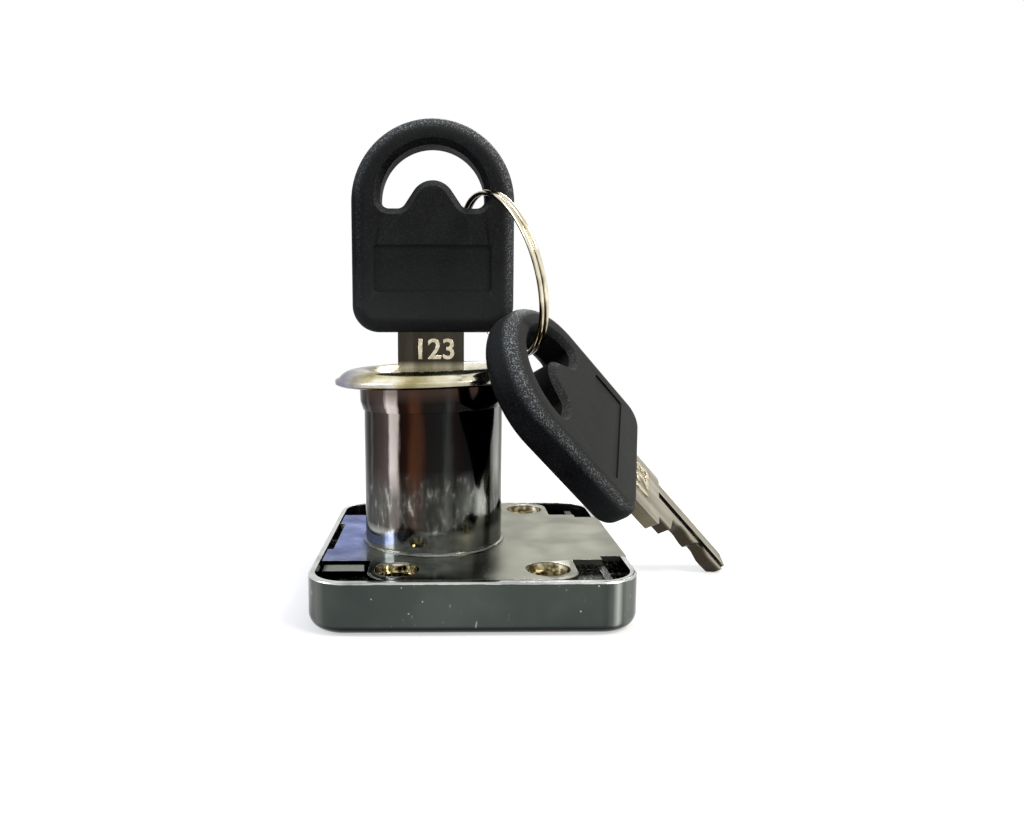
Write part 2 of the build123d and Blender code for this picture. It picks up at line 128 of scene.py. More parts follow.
print("helpers", add.__name__, new_material.__name__)

# %% [markdown]
# ## Clean shading and thin bright edges
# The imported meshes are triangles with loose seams. Welding the seams lets a bevel find the
# real edges. Pressed, cast and moulded edges are never perfectly sharp: a hair-thin
# rounding catches the light, and that line is what makes metal look like metal. Splitting
# the mesh at what is still sharp, and weighting the normals by face size, keeps flat faces
# flat and round faces smooth.

# %% Weld, round the edges a little, shade by angle
SHARP = math.radians(32)
SEAM_GAP = 0.0005 * MM
LARGE_FACES_LEAD = 80


def soften(node_name, edge_mm):
    """Welds a CAD node's seams, rounds its sharp edges by edge_mm and cleans its shading."""
    piece = frame["nodes"][node_name]
    piece.data.polygons.foreach_set("use_smooth", [True] * len(piece.data.polygons))
    weld = piece.modifiers.new("weld", "WELD")
    weld.merge_threshold = SEAM_GAP
    if edge_mm:
        rounding = piece.modifiers.new("edge", "BEVEL")
        rounding.width = edge_mm * MM
        rounding.segments = 2
        rounding.limit_method = "ANGLE"
        rounding.angle_limit = SHARP
        rounding.material = 1
    split = piece.modifiers.new("split", "EDGE_SPLIT")
    split.split_angle = SHARP
    weighting = piece.modifiers.new("weighting", "WEIGHTED_NORMAL")
    weighting.weight = LARGE_FACES_LEAD


edge_sizes = {"case": 0.12, "lock_body": 0.12, "trim_ring": 0.06, "bolt": 0.12}
for key_name in ("key", "spare_key"):
    edge_sizes[key_name + "_blade"] = 0.10
    edge_sizes[key_name + "_bow"] = 0.09
for node_name in frame["nodes"]:
    soften(node_name, edge_sizes.get(node_name, 0))
print("rounded edges in mm", edge_sizes)

# %% Bright edges
# Handling wears the plating bright along every edge, and the bright tint is also a painted
# highlight of the light that an edge catches. A bevel gives its faces this finish.
worn_edge_highlight, tree = new_material("worn_bright_edge")
WEAR = 1.4
place = add(tree, "TexCoord", out="Object")
wear = add(tree, "TexNoise", {"Vector": place, "Scale": per_metre(WEAR), "Detail": 4.0})
tint = add(
    tree, "ValToRGB", [wear], stops=[(0.35, "#6e716c"), (0.5, "#c3c5c0"), (0.62, "#f0f1ee")]
)
dullness = add(tree, "MapRange", [wear, 0.35, 0.65, 0.30, 0.15])
surface = {"Base Color": tint, "Metallic": 1.0, "Roughness": dullness}
add(tree, "OutputMaterial", [add(tree, "BsdfPrincipled", surface)])
print("edge finish", worn_edge_highlight.name)


# %% Put a finish on CAD nodes
def dress(material, *nodes, edges=None):
    """These CAD nodes take this material, and their rounded edges may take another."""
    for name in nodes:
        mesh = frame["nodes"][name].data
        mesh.materials.clear()
        mesh.materials.append(material)
        mesh.materials.append(edges or material)
    print(material.name, "on", ", ".join(nodes))


print("nodes to dress", len(frame["nodes"]))

# %% [markdown]
# ## Case: pressed steel with dark bright plating
# The cup is drawn from sheet and barrel plated, which leaves a deep grey mirror with a few
# pits and fine rubs. It is a full metal with a dark tint. Its rim gets a patchy painted
# highlight, its corners painted reflections and the faces of its lower edge that look down
# painted shade, told apart by height, by the way round the case and by which way a face looks.

# %% Levels of the lock
case_low, case_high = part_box("case")
CASE_MIDDLE = (case_low + case_high) / 2
PLATE_TOP = case_high.z
BARREL_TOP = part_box("lock_body")[1].z
print("plate level and barrel top in mm", round(PLATE_TOP / MM, 2), round(BARREL_TOP / MM, 2))


# %% Where a point lies, and which way it faces
def coordinates(tree):
    """A point's place in the lock's frame, and its three numbers apart."""
    place = add(tree, "TexCoord", out="Object")
    return place, add(tree, "SeparateXYZ", [place]).node.outputs


def facing(tree, direction):
    """How far a face looks along a direction: 1 towards it, -1 away from it."""
    normal = add(tree, "NewGeometry", out="Normal")
    return add(tree, "VectorMath", [normal, direction], operation="DOT_PRODUCT")


def way_round(tree, axes, middle):
    """Degrees round an upright axis, as 0 to 1: 0.5 is the front, more is to the right."""
    across = add(tree, "Math", [axes["X"], middle.x], operation="SUBTRACT")
    front = add(tree, "Math", [middle.y, axes["Y"]], operation="SUBTRACT")
    turned = add(tree, "Math", [across, front], operation="ARCTAN2")
    return add(tree, "MapRange", [turned, -math.pi, math.pi])


print("middle of the case in mm", [round(c / MM, 2) for c in CASE_MIDDLE])

# %% Dark plated steel: clouds and painted reflections on the corners
# The corners get painted reflections of a window on the right and a paler wall on the left.
# Degrees go round the case from the back, and the front is at 180.
CORNER_REFLECTIONS = [
    (0, "#4a4f4c"), (38, "#353b38"), (48, "#8f948f"), (54, "#353b38"), (120, "#4a4f4c"),
    (133, "#2c312f"), (135.5, "#6b6e69"), (137.5, "#3c423f"), (180, "#4b514d"), (217, "#3c423f"),
    (219.3, "#222725"), (219.9, "#dfe2dd"), (220.8, "#c4c8c2"), (221.6, "#4e5450"),
    (224, "#7b807b"), (228, "#2e3331"), (306, "#353b38"), (312, "#8f948f"), (322, "#353b38"),
    (360, "#4a4f4c"),
]
CLOUD, CORNER_SHARE = 6.0, 0.62
plated_steel, tree = new_material("dark_plated_steel")
place, axes = coordinates(tree)
clouds = add(tree, "TexNoise", {"Vector": place, "Scale": per_metre(CLOUD), "Detail": 5.0})
tint = add(
    tree, "ValToRGB", [clouds], stops=[(0.35, "#353b38"), (0.5, "#3f4643"), (0.66, "#4d534f")]
)
corner_reflection = add(
    tree, "ValToRGB", [way_round(tree, axes, CASE_MIDDLE)],
    stops=[(angle / 360, colour) for angle, colour in CORNER_REFLECTIONS],
)
tint = add(tree, "Mix", [CORNER_SHARE, tint, corner_reflection], data_type="RGBA")
print("colours round the case", len(CORNER_REFLECTIONS))

# %% Dark plated steel: pits and scores
PIT, SCORE = 1.7, 0.45
pits = add(tree, "TexVoronoi", {"Vector": place, "Scale": per_metre(PIT)})
pit_mask = add(tree, "MapRange", [pits, 0.03, 0.08, 0.9, 0.0])
tint = add(tree, "Mix", [pit_mask, tint, linear("#b4b8b2")], data_type="RGBA")
slanted = add(
    tree, "Mapping", {"Vector": place, "Rotation": (0.0, 0.5, 0.3), "Scale": (0.8, 0.8, 0.22)}
)
scores = add(tree, "TexNoise", {"Vector": slanted, "Scale": per_metre(SCORE), "Detail": 2.0})
score_mask = add(tree, "MapRange", [scores, 0.70, 0.78, 0.0, 0.6])
tint = add(tree, "Mix", [score_mask, tint, linear("#a9ada8")], data_type="RGBA")
print("pits every", PIT, "mm, scores every", SCORE, "mm")

# %% Dark plated steel: painted shade on the turn-in, painted highlight on the rim, fine rubs
RUB, RUB_DEPTH = 0.14, 0.01 * MM
RIM_START, RIM_FULL = PLATE_TOP - 0.24 * MM, PLATE_TOP - 0.19 * MM
underside_shade = add(tree, "MapRange", [facing(tree, (0, 0, -1)), 0.25, 0.5])
tint = add(tree, "Mix", [underside_shade, tint, linear("#141716")], data_type="RGBA")
rim_highlight = add(tree, "MapRange", [axes["Z"], RIM_START, RIM_FULL])
rim_highlight_breakup = add(tree, "MapRange", [clouds, 0.3, 0.5, 0.55, 0.95])
rim_highlight = add(tree, "Math", [rim_highlight, rim_highlight_breakup], operation="MULTIPLY")
tint = add(tree, "Mix", [rim_highlight, tint, linear("#c9ccc7")], data_type="RGBA")
dullness = add(tree, "MapRange", [clouds, 0.35, 0.7, 0.12, 0.26])
along = add(tree, "Mapping", {"Vector": place, "Scale": (0.15, 0.15, 1.0)})
rubs = add(tree, "TexNoise", {"Vector": along, "Scale": per_metre(RUB), "Detail": 3.0})
relief = add(tree, "Bump", {"Height": rubs, "Strength": 0.18, "Distance": RUB_DEPTH})
surface = {"Base Color": tint, "Metallic": 1.0, "Roughness": dullness, "Normal": relief}
add(tree, "OutputMaterial", [add(tree, "BsdfPrincipled", surface)])
dress(plated_steel, "case", edges=worn_edge_highlight)

# %% [markdown]
# ## Polished barrel: painted reflections in long bands of silver, brown and black
# The barrel was polished on a wheel before plating. A mirror that is round shows the room
# as tall narrow bands, and in a plain white room it would show none. So the bands are painted
# reflections, put in the plating's colour and counted in degrees round the barrel. They waver
# a little and break up into grey flecks near the foot, where the wheel could not reach. The
# sleeve of the trim ring was polished the same way and gets the same painted reflections.

# %% Painted reflection bands round the barrel
# Painted reflections, by degrees from the front, more to the right. The last few millimetres
# have their own.
REFLECTION_BANDS = [
    (-180, "#55524d"), (-150, "#1f2020"), (-135, "#a9a69f"), (-115, "#33312f"),
    (-85, "#0c0d0a"), (-62, "#1d1e1a"), (-58, "#55504e"), (-55, "#2e2828"), (-45, "#3e3634"),
    (-38, "#4f4543"), (-35, "#cbbfba"), (-28.5, "#b8aca7"), (-26.5, "#150c0a"),
    (-20, "#1f120d"), (-15, "#43281a"), (-10, "#3a2419"), (-5, "#1a1614"), (8, "#191b1a"),
    (11, "#303130"), (17, "#171413"), (25, "#120f0e"), (31, "#0c1011"), (53, "#0e1316"),
    (58, "#858883"), (66, "#a3a6a0"), (74, "#31342f"), (95, "#1c1e1d"), (125, "#babdb8"),
    (140, "#292b2a"), (180, "#55524d"),
]
FOOT_REFLECTION_BANDS = [
    (-180, "#4a4d49"), (-75, "#2c2e2c"), (-62, "#454643"), (-45, "#5c5a57"), (-28, "#4c4845"),
    (-24, "#2b2420"), (-14, "#47372f"), (-6, "#2e2d2b"), (8, "#363735"), (12, "#5d5f5b"),
    (17, "#262827"), (24, "#4a4c49"), (28, "#6f716d"), (33, "#4d504d"), (39, "#bfc3bc"),
    (45, "#b4b8b1"), (48, "#3d403c"), (58, "#5b5d59"), (80, "#40433e"), (180, "#4a4d49"),
]
BARREL_AXIS = Vector((0, 0, 0))
print("bands round the barrel", len(REFLECTION_BANDS), "and at its foot", len(FOOT_REFLECTION_BANDS))

# %% Polished plating with painted reflection bands
WAVER, FLECK = 1.2, 0.8
SWAY = 0.012
FOOT_BAND_SHARE = 0.65
FOOT_LOW, FOOT_HIGH = PLATE_TOP + 7.0 * MM, PLATE_TOP + 11.0 * MM
LOWEST, LOWEST_TOP = PLATE_TOP + 2.2 * MM, PLATE_TOP + 3.2 * MM


def reflection_band_colours(tree, turned, reflection_bands):
    """The colours of some painted reflection bands, by degrees round the barrel as 0 to 1."""
    stops = [((angle + 180) / 360, colour) for angle, colour in reflection_bands]
    return add(tree, "ValToRGB", [turned], stops=stops)


def painted_reflection_bands(tree, place, axes):
    """The colour of polished plating with painted reflections round the barrel's axis, and its
    dullness.
    """
    upright = add(tree, "Mapping", {"Vector": place, "Scale": (1.0, 1.0, 0.2)})
    waver = add(tree, "TexNoise", {"Vector": upright, "Scale": per_metre(WAVER), "Detail": 4.0})
    shift = add(tree, "MapRange", [waver, 0.0, 1.0, -SWAY, SWAY])
    turned = add(tree, "Math", [way_round(tree, axes, BARREL_AXIS), shift], operation="ADD")
    tall = add(tree, "Mapping", {"Vector": place, "Scale": (1.0, 1.0, 0.4)})
    flecks = add(tree, "TexNoise", {"Vector": tall, "Scale": per_metre(FLECK), "Detail": 5.0})
    foot = add(
        tree, "ValToRGB", [flecks],
        stops=[(0.38, "#292b28"), (0.52, "#454845"), (0.62, "#777a74"), (0.70, "#dadcd6")],
    )
    foot_reflection_bands = reflection_band_colours(tree, turned, FOOT_REFLECTION_BANDS)
    foot = add(tree, "Mix", [FOOT_BAND_SHARE, foot, foot_reflection_bands], data_type="RGBA")
    # Pale near the very bottom: a painted reflection of the plate.
    plate_reflection = add(tree, "MapRange", [axes["Z"], LOWEST, LOWEST_TOP, 0.6, 0.0])
    foot = add(tree, "Mix", [plate_reflection, foot, linear("#c9cdc7")], data_type="RGBA")
    near_foot = add(tree, "MapRange", [axes["Z"], FOOT_LOW, FOOT_HIGH, 0.85, 0.0])
    reflection_bands = reflection_band_colours(tree, turned, REFLECTION_BANDS)
    tint = add(tree, "Mix", [near_foot, reflection_bands, foot], data_type="RGBA")
    return tint, add(tree, "MapRange", [waver, 0.35, 0.7, 0.05, 0.16])


print("the bands give way to flecks below", round(FOOT_HIGH / MM, 1), "mm")

# %% [markdown]
# ## Body: one zinc casting with two finishes
# The plate is tumbled and satin to the right, with handling marks, and nearly a mirror in
# front of the barrel, where a darker painted reflection of the barrel lies. Its left arm has a
# painted violet reflection of the sky, and below the plate's level it has painted shade. The
# screw holes keep a brassy film where polishing did not reach. One material tells these apart
# by where a point lies.

# %% Zinc casting: satin plate, and mirror in front with a painted reflection
SATIN, SPECK = 4.5, 0.2
SATIN_START_X, SATIN_FULL_X = 0.0, 9.0 * MM
SATIN_START_Y, SATIN_FULL_Y = -11.0 * MM, -5.0 * MM
zinc, tree = new_material("plated_zinc_casting")
place, axes = coordinates(tree)
satin = add(tree, "TexNoise", {"Vector": place, "Scale": per_metre(SATIN), "Detail": 3.0})
grain = add(tree, "TexNoise", {"Vector": place, "Scale": per_metre(SPECK), "Detail": 2.0})
plate = add(
    tree, "ValToRGB", [satin], stops=[(0.3, "#6f7065"), (0.5, "#77776c"), (0.7, "#818176")]
)
speckle = add(tree, "MapRange", [grain, 0.58, 0.68, 0.0, 0.45])
plate = add(tree, "Mix", [speckle, plate, linear("#4d4e47")], data_type="RGBA")
to_right = add(tree, "MapRange", [axes["X"], SATIN_START_X, SATIN_FULL_X])
to_back = add(tree, "MapRange", [axes["Y"], SATIN_START_Y, SATIN_FULL_Y])
satin_part = add(tree, "Math", [to_right, to_back], operation="MAXIMUM")
# Darker in front of the barrel: a painted reflection of the barrel.
front_reflection = add(
    tree, "ValToRGB", [satin], stops=[(0.36, "#454844"), (0.5, "#6b6e69"), (0.62, "#8f928c")]
)
plate = add(tree, "Mix", [satin_part, front_reflection, plate], data_type="RGBA")
print("satin patches in mm", SATIN, "and specks", SPECK)

# %% Zinc casting: painted violet reflection of the sky on the left arm
SKY_REFLECTION_FULL, SKY_REFLECTION_END = -9.5 * MM, -8.0 * MM
sky_reflection_tint = add(
    tree, "ValToRGB", [satin], stops=[(0.34, "#5d6797"), (0.5, "#7480b0"), (0.66, "#8f99c4")]
)
sky_reflection = add(tree, "MapRange", [axes["X"], SKY_REFLECTION_FULL, SKY_REFLECTION_END, 0.9, 0.0])
upward = add(tree, "MapRange", [facing(tree, (0, 0, 1)), 0.8, 0.95])
sky_reflection = add(tree, "Math", [sky_reflection, upward], operation="MULTIPLY")
plate = add(tree, "Mix", [sky_reflection, plate, sky_reflection_tint], data_type="RGBA")
print("the film ends at x", SKY_REFLECTION_END / MM, "mm")

# %% Zinc casting: painted shade in sunk places
# Under the plate's level the colour is painted nearly black as shade. On the arm a bright step
# comes first, so the black starts deeper there. Each level fades over a little height.
STEP, SHELF, CAST_FLOOR = 0.25 * MM, 0.75 * MM, 1.45 * MM
STEP_FADE, SHELF_FADE, FLOOR_FADE = 0.05 * MM, 0.15 * MM, 0.10 * MM
ARM_FULL, ARM_END = -6.0 * MM, -5.5 * MM
recess_shade_tint = add(
    tree, "ValToRGB", [grain], stops=[(0.40, "#171918"), (0.55, "#343735"), (0.66, "#b5b8b2")]
)
on_arm = add(tree, "MapRange", [axes["X"], ARM_FULL, ARM_END, 1.0, 0.0])
level = PLATE_TOP - STEP
below_step = add(tree, "MapRange", [axes["Z"], level, level + STEP_FADE, 1.0, 0.0])
bright_step = add(tree, "Math", [on_arm, below_step], operation="MULTIPLY")
plate = add(tree, "Mix", [bright_step, plate, linear("#c3c5bf")], data_type="RGBA")
level = PLATE_TOP - SHELF
below_shelf = add(tree, "MapRange", [axes["Z"], level, level + SHELF_FADE, 1.0, 0.0])
level = PLATE_TOP - CAST_FLOOR
on_floor = add(tree, "MapRange", [axes["Z"], level, level + FLOOR_FADE, 1.0, 0.0])
recess_shade = add(tree, "Mix", [on_arm, below_shelf, on_floor], data_type="FLOAT")
plate = add(tree, "Mix", [recess_shade, plate, recess_shade_tint], data_type="RGBA")
print("black starts below the plate in mm", SHELF / MM, "and on the arm", CAST_FLOOR / MM)

# %% Zinc casting: brassy screw holes
SCREW_X, SCREW_Y = 18.5 * MM, 30.0 * MM
HOLE_REACH, HOLE_FADE = 2.70 * MM, 2.95 * MM
HOLE_DEEP, HOLE_TOP = PLATE_TOP - 0.3 * MM, PLATE_TOP - 0.1 * MM
HOLE_GRAIN = 0.7
aside_x = add(tree, "Math", [axes["X"], CASE_MIDDLE.x], operation="SUBTRACT")
aside_x = add(tree, "Math", [aside_x], operation="ABSOLUTE")
aside_y = add(tree, "Math", [axes["Y"]], operation="ABSOLUTE")
aside = add(tree, "CombineXYZ", [aside_x, aside_y])
screw = (SCREW_X / 2, SCREW_Y / 2, 0.0)
from_screw = add(tree, "VectorMath", [aside, screw], operation="DISTANCE")
near_hole = add(tree, "MapRange", [from_screw, HOLE_REACH, HOLE_FADE, 1.0, 0.0])
sunk = add(tree, "MapRange", [axes["Z"], HOLE_DEEP, HOLE_TOP, 1.0, 0.0])
in_hole = add(tree, "Math", [near_hole, sunk], operation="MULTIPLY")
hole_grain = add(
    tree, "TexNoise", {"Vector": place, "Scale": per_metre(HOLE_GRAIN), "Detail": 3.0}
)
hole_tint = add(
    tree, "ValToRGB", [hole_grain],
    stops=[(0.36, "#4f432f"), (0.48, "#9d9068"), (0.6, "#ece5c8")],
)
plate = add(tree, "Mix", [in_hole, plate, hole_tint], data_type="RGBA")
print("screw holes apart in mm", SCREW_X / MM, SCREW_Y / MM)

# %% Zinc casting: painted reflection bands on the barrel, roughness and relief
# A grey tint of the glancing reflection keeps the edges of the barrel dark.
GLANCING = linear("#cacaca")
SCRATCH, SCRATCH_DEPTH = 0.15, 0.01 * MM
BARREL_START, BARREL_FULL = PLATE_TOP + 0.22 * MM, PLATE_TOP + 0.26 * MM
reflection_bands, barrel_dull = painted_reflection_bands(tree, place, axes)
on_barrel = add(tree, "MapRange", [axes["Z"], BARREL_START, BARREL_FULL])
tint = add(tree, "Mix", [on_barrel, plate, reflection_bands], data_type="RGBA")
satin_dull = add(tree, "MapRange", [satin, 0.35, 0.7, 0.32, 0.40])
plate_dull = add(tree, "Mix", [satin_part, 0.07, satin_dull], data_type="FLOAT")
dullness = add(tree, "Mix", [on_barrel, plate_dull, barrel_dull], data_type="FLOAT")
swept = add(
    tree, "Mapping", {"Vector": place, "Rotation": (0, 0, 0.5), "Scale": (0.06, 1.0, 1.0)}
)
scratches = add(tree, "TexNoise", {"Vector": swept, "Scale": per_metre(SCRATCH), "Detail": 4.0})
both = add(tree, "Math", [scratches, grain], operation="ADD")
relief = add(tree, "Bump", {"Height": both, "Strength": 0.16, "Distance": SCRATCH_DEPTH})
surface = {
    "Base Color": tint, "Metallic": 1.0, "Roughness": dullness, "Normal": relief,
    "Specular Tint": GLANCING,
}
add(tree, "OutputMaterial", [add(tree, "BsdfPrincipled", surface)])
dress(zinc, "lock_body", edges=worn_edge_highlight)

# %% [markdown]
# ## Trim ring: warm nickel on turned brass
# Nickel that has yellowed a little over brass, bright and slightly rippled from hand
# polishing, with dark specks of compound along its lower lip. It has a painted highlight to
# the right, a painted violet reflection of the sky to the left, and its faces that look down
# have a painted brown reflection of a dark drawer front. The sleeve under the flange has the
# barrel's painted reflection bands. The ring sits a little askew, and so does the level that
# parts the two.

# %% Warm nickel: flange
RIPPLE = 2.2
HIGHLIGHT_START, HIGHLIGHT_END = -2.0 * MM, 6.0 * MM
TRIM_SKY_FULL, TRIM_SKY_END = -11.5 * MM, -8.0 * MM
warm_nickel, tree = new_material("warm_nickel_on_brass")
place, axes = coordinates(tree)
flat_place = add(tree, "Mapping", {"Vector": place, "Scale": (0.5, 0.5, 1.0)})
ripple = add(tree, "TexNoise", {"Vector": flat_place, "Scale": per_metre(RIPPLE), "Detail": 3.0})
tint = add(
    tree, "ValToRGB", [ripple], stops=[(0.34, "#a89d70"), (0.48, "#d9cfa8"), (0.62, "#fdf9e8")]
)
# Paler to the right is a painted highlight; brown where faces look down is a painted reflection.
to_right = add(tree, "MapRange", [axes["X"], HIGHLIGHT_START, HIGHLIGHT_END, 0.0, 0.5])
tint = add(tree, "Mix", [to_right, tint, linear("#fbf9ee")], data_type="RGBA")
looks_down = add(tree, "MapRange", [facing(tree, (0, 0, -1)), -0.35, 0.6])
tint = add(tree, "Mix", [looks_down, tint, linear("#3a2f1d")], data_type="RGBA")
# Violet towards the left end: a painted reflection of the sky.
sky_reflection = add(tree, "MapRange", [axes["X"], TRIM_SKY_FULL, TRIM_SKY_END, 0.8, 0.0])
tint = add(tree, "Mix", [sky_reflection, tint, linear("#8584a0")], data_type="RGBA")
print("ripples in mm", RIPPLE)

# %% Warm nickel: dark specks on the tilted lip
TRIM_TILT = math.radians(2.2)
LIP_LEVEL = BARREL_TOP - 0.14 * MM
LIP_START, LIP_END = LIP_LEVEL + 0.1 * MM, LIP_LEVEL + 0.45 * MM
COMPOUND_SPECK = 1.0
specks = add(tree, "TexVoronoi", {"Vector": place, "Scale": per_metre(COMPOUND_SPECK)})
speck_mask = add(tree, "MapRange", [specks, 0.10, 0.22, 0.9, 0.0])
tilted = add(tree, "Math", [axes["X"], math.tan(TRIM_TILT)], operation="MULTIPLY")
level = add(tree, "Math", [axes["Z"], tilted], operation="SUBTRACT")
low_lip = add(tree, "MapRange", [level, LIP_START, LIP_END, 1.0, 0.0])
speck_mask = add(tree, "Math", [speck_mask, low_lip], operation="MULTIPLY")
tint = add(tree, "Mix", [speck_mask, tint, linear("#1d150c")], data_type="RGBA")
print("lip level in mm", round(LIP_LEVEL / MM, 2))

# %% Warm nickel: sleeve, roughness and relief
SHADE_START, SHADE_END = LIP_LEVEL - 2.2 * MM, LIP_LEVEL - 0.8 * MM
SLEEVE_FULL, SLEEVE_END = LIP_LEVEL - 0.10 * MM, LIP_LEVEL - 0.04 * MM
RIPPLE_DEPTH = 0.05 * MM
reflection_bands, sleeve_dull = painted_reflection_bands(tree, place, axes)
top_shade = add(tree, "MapRange", [level, SHADE_START, SHADE_END, 0.0, 0.6])
sleeve = add(tree, "Mix", [top_shade, reflection_bands, linear("#4a3a33")], data_type="RGBA")
on_sleeve = add(tree, "MapRange", [level, SLEEVE_FULL, SLEEVE_END, 1.0, 0.0])
tint = add(tree, "Mix", [on_sleeve, tint, sleeve], data_type="RGBA")
flange_dull = add(tree, "MapRange", [ripple, 0.3, 0.7, 0.10, 0.24])
dullness = add(tree, "Mix", [on_sleeve, flange_dull, sleeve_dull], data_type="FLOAT")
relief = add(tree, "Bump", {"Height": ripple, "Strength": 0.25, "Distance": RIPPLE_DEPTH})
surface = {
    "Base Color": tint, "Metallic": 1.0, "Roughness": dullness, "Normal": relief,
    "Specular Tint": GLANCING,
}
add(tree, "OutputMaterial", [add(tree, "BsdfPrincipled", surface)])
dress(warm_nickel, "trim_ring")

# %% [markdown]
# ## Key blades: stamped and milled, then nickel plated
# A key is stamped from sheet and its groove and cuts are milled. The cutter leaves fine
# lines along the blade, and the thin nickel looks warm. The edges of the sheet and the floor
# of the groove are painted darker as shade, and the neck close under the bow has a painted
# reflection of the dark bow. The standing key and the spare key lie in different directions,
# so the lines follow each key's own axes.

# %% Where each key stands
# The spare key hangs on the ring. Its three angles are the ones that the model uses.
KEY_SEAT = 28.65 * MM
SPARE_HEADING, SPARE_LEAN, SPARE_ROLL = 23.1, 45.2, 43.3
SPARE_HELD = Vector((4.21, 0.0, 27.76)) * MM
joints = {joint["name"]: joint for joint in frame["joints"]}
standing_place = Matrix.Translation((0, 0, KEY_SEAT))
spare_turn = (
    Matrix.Rotation(math.radians(SPARE_HEADING), 4, "Z")
    @ Matrix.Rotation(math.radians(-SPARE_LEAN), 4, "Y")
    @ Matrix.Rotation(math.radians(SPARE_ROLL), 4, "Z")
)
spare_origin = Vector(joints["spare_swing"]["pos_m"]) - spare_turn @ SPARE_HELD
spare_place = Matrix.Translation(spare_origin) @ spare_turn
print("spare key shoulder in mm", [round(c / MM, 2) for c in spare_origin])


# %% Coordinates of a key
def key_coordinates(tree, key_place):
    """Texture coordinates along a key's own axes, with its shoulder at zero."""
    place = add(tree, "TexCoord", out="Object")
    back = key_place.inverted()
    return add(tree, "Mapping", [place, back.translation, back.to_euler("XYZ")])


def flatness(tree, key_place):
    """1 on a key's two broad faces, 0 on its edges."""
    across = (key_place.to_3x3() @ Vector((0, 1, 0))).normalized()
    return add(tree, "Math", [facing(tree, across)], operation="ABSOLUTE")


print("thickness of the spare key runs along", [round(c, 2) for c in spare_turn.col[1][:3]])

# %% Nickel of the keys
# Real milling lines are near 0.05 mm, finer than a pixel here, so they are drawn as long
# streaks of about twice that width.
GROOVE_FLOOR, FACE = -0.62 * MM, -0.85 * MM
BOW_START, BOW_FULL = 1.8 * MM, 2.6 * MM
NICKEL_CLOUD, MILLED_LINE, MILLED_DEPTH = 1.5, 0.12, 0.01 * MM


def nickel_tint(tree, key_place, bow_reflection_share):
    """Warm nickel, with painted shade on edges and groove and a painted bow reflection under the
    bow.
    """
    place = key_coordinates(tree, key_place)
    axes = add(tree, "SeparateXYZ", [place]).node.outputs
    along = add(tree, "Mapping", {"Vector": place, "Scale": (1.0, 1.0, 0.12)})
    cloud = add(
        tree, "TexNoise", {"Vector": along, "Scale": per_metre(NICKEL_CLOUD), "Detail": 3.0}
    )
    tint = add(
        tree, "ValToRGB", [cloud], stops=[(0.35, "#8d8774"), (0.5, "#a19b87"), (0.65, "#bab5a3")]
    )
    edge_shade = add(tree, "MapRange", [flatness(tree, key_place), 0.55, 0.9, 0.75, 0.0])
    tint = add(tree, "Mix", [edge_shade, tint, linear("#45402f")], data_type="RGBA")
    groove_shade = add(tree, "MapRange", [axes["Y"], GROOVE_FLOOR, FACE, 1.0, 0.0])
    on_blade = add(tree, "MapRange", [axes["Z"], -0.05 * MM, 0.0, 1.0, 0.0])
    groove_shade = add(tree, "Math", [groove_shade, on_blade], operation="MULTIPLY")
    tint = add(tree, "Mix", [groove_shade, tint, linear("#37322a")], data_type="RGBA")
    bow_reflection = add(tree, "MapRange", [axes["Z"], BOW_START, BOW_FULL, 0.0, bow_reflection_share])
    return add(tree, "Mix", [bow_reflection, tint, linear("#1f1a16")], data_type="RGBA")


def key_nickel(name, key_place, bow_reflection_share):
    """Nickel plating with fine milling lines, and a painted reflection of the bow close under it.
    """
    material, tree = new_material(name)
    place = key_coordinates(tree, key_place)
    milled = add(tree, "Mapping", {"Vector": place, "Scale": (1.0, 1.0, 0.05)})
    lines = add(
        tree, "TexNoise", {"Vector": milled, "Scale": per_metre(MILLED_LINE), "Detail": 3.0}
    )
    surface = {
        "Base Color": nickel_tint(tree, key_place, bow_reflection_share), "Metallic": 1.0,
        "Roughness": add(tree, "MapRange", [lines, 0.3, 0.7, 0.20, 0.34]),
        "Normal": add(tree, "Bump", {"Height": lines, "Strength": 0.25, "Distance": MILLED_DEPTH}),
    }
    add(tree, "OutputMaterial", [add(tree, "BsdfPrincipled", surface)])
    return material


standing_nickel = key_nickel("key_nickel_standing", standing_place, 0.92)
spare_nickel = key_nickel("key_nickel_spare", spare_place, 0.15)
dress(standing_nickel, "key_blade", edges=worn_edge_highlight)
dress(spare_nickel, "spare_key_blade", edges=worn_edge_highlight)

# %% [markdown]
# ## Key bows: moulded black plastic with a spark-eroded grain
# The mould was eroded, not polished, so the plastic has a fine even grain. Flat faces look
# dull and nearly black. Faces that look up are painted lighter, and the rounded edges that
# look up get painted highlights, with single grains painted as sparkles. The real grain is
# near 0.1 mm, finer than a pixel here, so it is drawn a little coarser.

# %% Where the plastic gets a painted highlight
GRAIN, FADE = 0.18, 4.0
GRAIN_DEPTH = 0.05 * MM
HOLE_MIDDLE = Vector((0, 0, 24.1)) * MM
HOLE_RIM, OFF_HOLE_RIM = 8.0 * MM, 8.6 * MM
PALER_FULL, PALER_END = 9.0 * MM, 16.0 * MM


def upper_edge_highlight(tree, place, flat, looks_up):
    """1 on the rounded outer edges of a bow that look up, where highlights are painted."""
    off_face = add(tree, "MapRange", [flat, 0.80, 0.97, 1.0, 0.0])
    off_side = add(tree, "MapRange", [flat, 0.15, 0.5])
    rounded = add(tree, "Math", [off_face, off_side], operation="MULTIPLY")
    from_hole = add(tree, "VectorMath", [place, HOLE_MIDDLE], operation="DISTANCE")
    off_rim = add(tree, "MapRange", [from_hole, HOLE_RIM, OFF_HOLE_RIM, 0.15, 1.0])
    edge_highlight = add(tree, "Math", [rounded, looks_up], operation="MULTIPLY")
    return add(tree, "Math", [edge_highlight, off_rim], operation="MULTIPLY")


